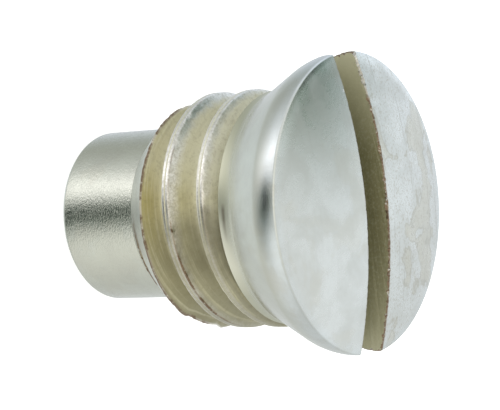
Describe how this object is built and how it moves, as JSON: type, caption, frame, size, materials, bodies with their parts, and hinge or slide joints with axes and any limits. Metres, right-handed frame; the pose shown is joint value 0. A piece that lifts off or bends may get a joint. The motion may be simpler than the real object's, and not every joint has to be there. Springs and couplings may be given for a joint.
{
  "type": "locking screw",
  "caption": "Short slotted locking screw with a domed, flared head, a coarse right-hand thread and a plain dog point.",
  "frame": {"origin": "centre of the flat end of the dog point, which is the tip of the screw", "axes": "+Z along the screw's axis from the dog point to the domed head; X along the driver slot, and Y across it"},
  "size_m": [0.005, 0.005, 0.0055],
  "materials": {
    "nickel_plate": "nickel plated steel, satin on the dog point and head, with dull olive film in the thread and slot and worn, burred crest edges"
  },
  "bodies": {
    "root": {"locking_screw": "nickel_plate"}
  },
  "joints": []
}
